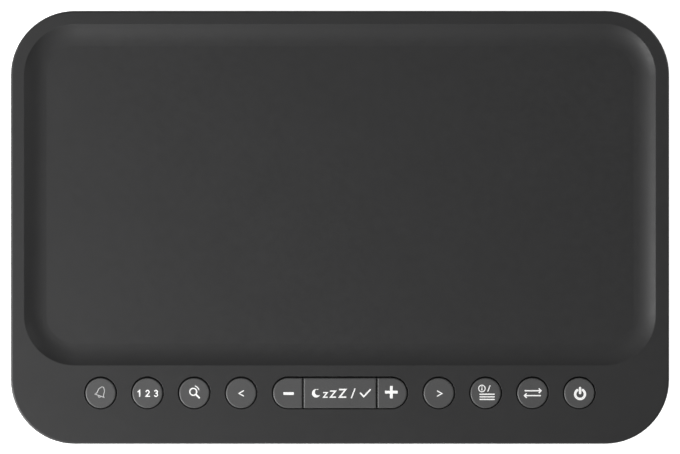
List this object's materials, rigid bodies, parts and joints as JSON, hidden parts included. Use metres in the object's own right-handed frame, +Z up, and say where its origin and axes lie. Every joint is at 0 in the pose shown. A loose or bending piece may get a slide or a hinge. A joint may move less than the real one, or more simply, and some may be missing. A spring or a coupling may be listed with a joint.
{
  "type": "tabletop radio",
  "caption": "Low tabletop clock radio with a recessed phone-charging tray in its top, a row of round push keys and a divided bar key, front display, stereo grilles and rear sockets.",
  "frame": {"origin": "on the table under the middle of the case", "axes": "+X to the right of someone facing the front, +Y towards the back, +Z up"},
  "size_m": [0.19, 0.125, 0.0622],
  "materials": {
    "case_plastic": "fine grained, matte",
    "base_plastic": "matte",
    "panel_plastic": "matte",
    "key_plastic": "satin",
    "lens_plastic": "polished, smoked",
    "display_glass": "clear",
    "light_guide": "white",
    "circuit_board": "solder mask",
    "components": "matte",
    "tuner_can": "tinned",
    "grille_metal": "matt black",
    "speaker_steel": "satin black",
    "magnet_metal": "plain",
    "cone_paper": "treated paper",
    "suspension_rubber": "soft",
    "switch_plastic": "matte",
    "plunger_plastic": "satin",
    "coil_copper": "enamelled copper",
    "ferrite": "plain",
    "socket_plastic": "satin",
    "socket_steel": "nickel plated",
    "foot_rubber": "matte",
    "screw_steel": "plated",
    "cable_plastic": "satin"
  },
  "bodies": {
    "case": {"top_cover": "case_plastic", "housing": "case_plastic", "bottom_cover": "base_plastic", "connector_panel": "panel_plastic", "display_lens": "lens_plastic", "lcd_panel": "display_glass", "backlight": "light_guide", "display_board": "circuit_board", "key_board": "circuit_board", "main_board": "circuit_board", "charger_board": "circuit_board", "board_components": "components", "tuner_module": "tuner_can", "grille_left": "grille_metal", "grille_right": "grille_metal", "speaker_frame_left": "speaker_steel", "speaker_frame_right": "speaker_steel", "speaker_magnet_left": "magnet_metal", "speaker_magnet_right": "magnet_metal", "speaker_suspension_left": "suspension_rubber", "speaker_suspension_right": "suspension_rubber", "switch_bodies": "switch_plastic", "charging_coil": "coil_copper", "ferrite_plate": "ferrite", "dc_socket": "socket_plastic", "headphone_socket": "socket_plastic", "usb_socket": "socket_steel", "aerial_socket": "socket_steel", "aerial_nut": "socket_steel", "rubber_feet": "foot_rubber", "case_screws": "screw_steel", "small_screws": "screw_steel", "key_ribbon": "cable_plastic", "display_ribbon": "cable_plastic", "speaker_leads": "cable_plastic", "charger_lead": "cable_plastic"},
    "alarm_key": {"key_alarm": "key_plastic", "plunger_alarm": "plunger_plastic"},
    "presets_key": {"key_presets": "key_plastic", "plunger_presets": "plunger_plastic"},
    "scan_key": {"key_scan": "key_plastic", "plunger_scan": "plunger_plastic"},
    "previous_key": {"key_previous": "key_plastic", "plunger_previous": "plunger_plastic"},
    "minus_key": {"key_minus": "key_plastic", "plunger_minus": "plunger_plastic"},
    "snooze_key": {"key_snooze": "key_plastic", "plunger_snooze": "plunger_plastic"},
    "plus_key": {"key_plus": "key_plastic", "plunger_plus": "plunger_plastic"},
    "next_key": {"key_next": "key_plastic", "plunger_next": "plunger_plastic"},
    "menu_key": {"key_menu": "key_plastic", "plunger_menu": "plunger_plastic"},
    "mode_key": {"key_mode": "key_plastic", "plunger_mode": "plunger_plastic"},
    "power_key": {"key_power": "key_plastic", "plunger_power": "plunger_plastic"},
    "left_cone": {"speaker_cone_left": "cone_paper"},
    "right_cone": {"speaker_cone_right": "cone_paper"}
  },
  "joints": [
    {"name": "alarm_press", "type": "slide", "parent": "case", "child": "alarm_key", "axis": [0, 0, -1], "range_m": [0, 0.0008], "stiffness_N_per_m": 1800},
    {"name": "presets_press", "type": "slide", "parent": "case", "child": "presets_key", "axis": [0, 0, -1], "range_m": [0, 0.0008], "stiffness_N_per_m": 1800},
    {"name": "scan_press", "type": "slide", "parent": "case", "child": "scan_key", "axis": [0, 0, -1], "range_m": [0, 0.0008], "stiffness_N_per_m": 1800},
    {"name": "previous_press", "type": "slide", "parent": "case", "child": "previous_key", "axis": [0, 0, -1], "range_m": [0, 0.0008], "stiffness_N_per_m": 1800},
    {"name": "minus_press", "type": "slide", "parent": "case", "child": "minus_key", "axis": [0, 0, -1], "range_m": [0, 0.0008], "stiffness_N_per_m": 1800},
    {"name": "snooze_press", "type": "slide", "parent": "case", "child": "snooze_key", "axis": [0, 0, -1], "range_m": [0, 0.0008], "stiffness_N_per_m": 1800},
    {"name": "plus_press", "type": "slide", "parent": "case", "child": "plus_key", "axis": [0, 0, -1], "range_m": [0, 0.0008], "stiffness_N_per_m": 1800},
    {"name": "next_press", "type": "slide", "parent": "case", "child": "next_key", "axis": [0, 0, -1], "range_m": [0, 0.0008], "stiffness_N_per_m": 1800},
    {"name": "menu_press", "type": "slide", "parent": "case", "child": "menu_key", "axis": [0, 0, -1], "range_m": [0, 0.0008], "stiffness_N_per_m": 1800},
    {"name": "mode_press", "type": "slide", "parent": "case", "child": "mode_key", "axis": [0, 0, -1], "range_m": [0, 0.0008], "stiffness_N_per_m": 1800},
    {"name": "power_press", "type": "slide", "parent": "case", "child": "power_key", "axis": [0, 0, -1], "range_m": [0, 0.0008], "stiffness_N_per_m": 1800},
    {"name": "left_cone_stroke", "type": "slide", "parent": "case", "child": "left_cone", "axis": [0, -1, 0], "range_m": [-0.001, 0.001], "stiffness_N_per_m": 1500, "deforming": ["speaker_suspension_left"]},
    {"name": "right_cone_stroke", "type": "slide", "parent": "case", "child": "right_cone", "axis": [0, -1, 0], "range_m": [-0.001, 0.001], "stiffness_N_per_m": 1500, "deforming": ["speaker_suspension_right"]}
  ]
}
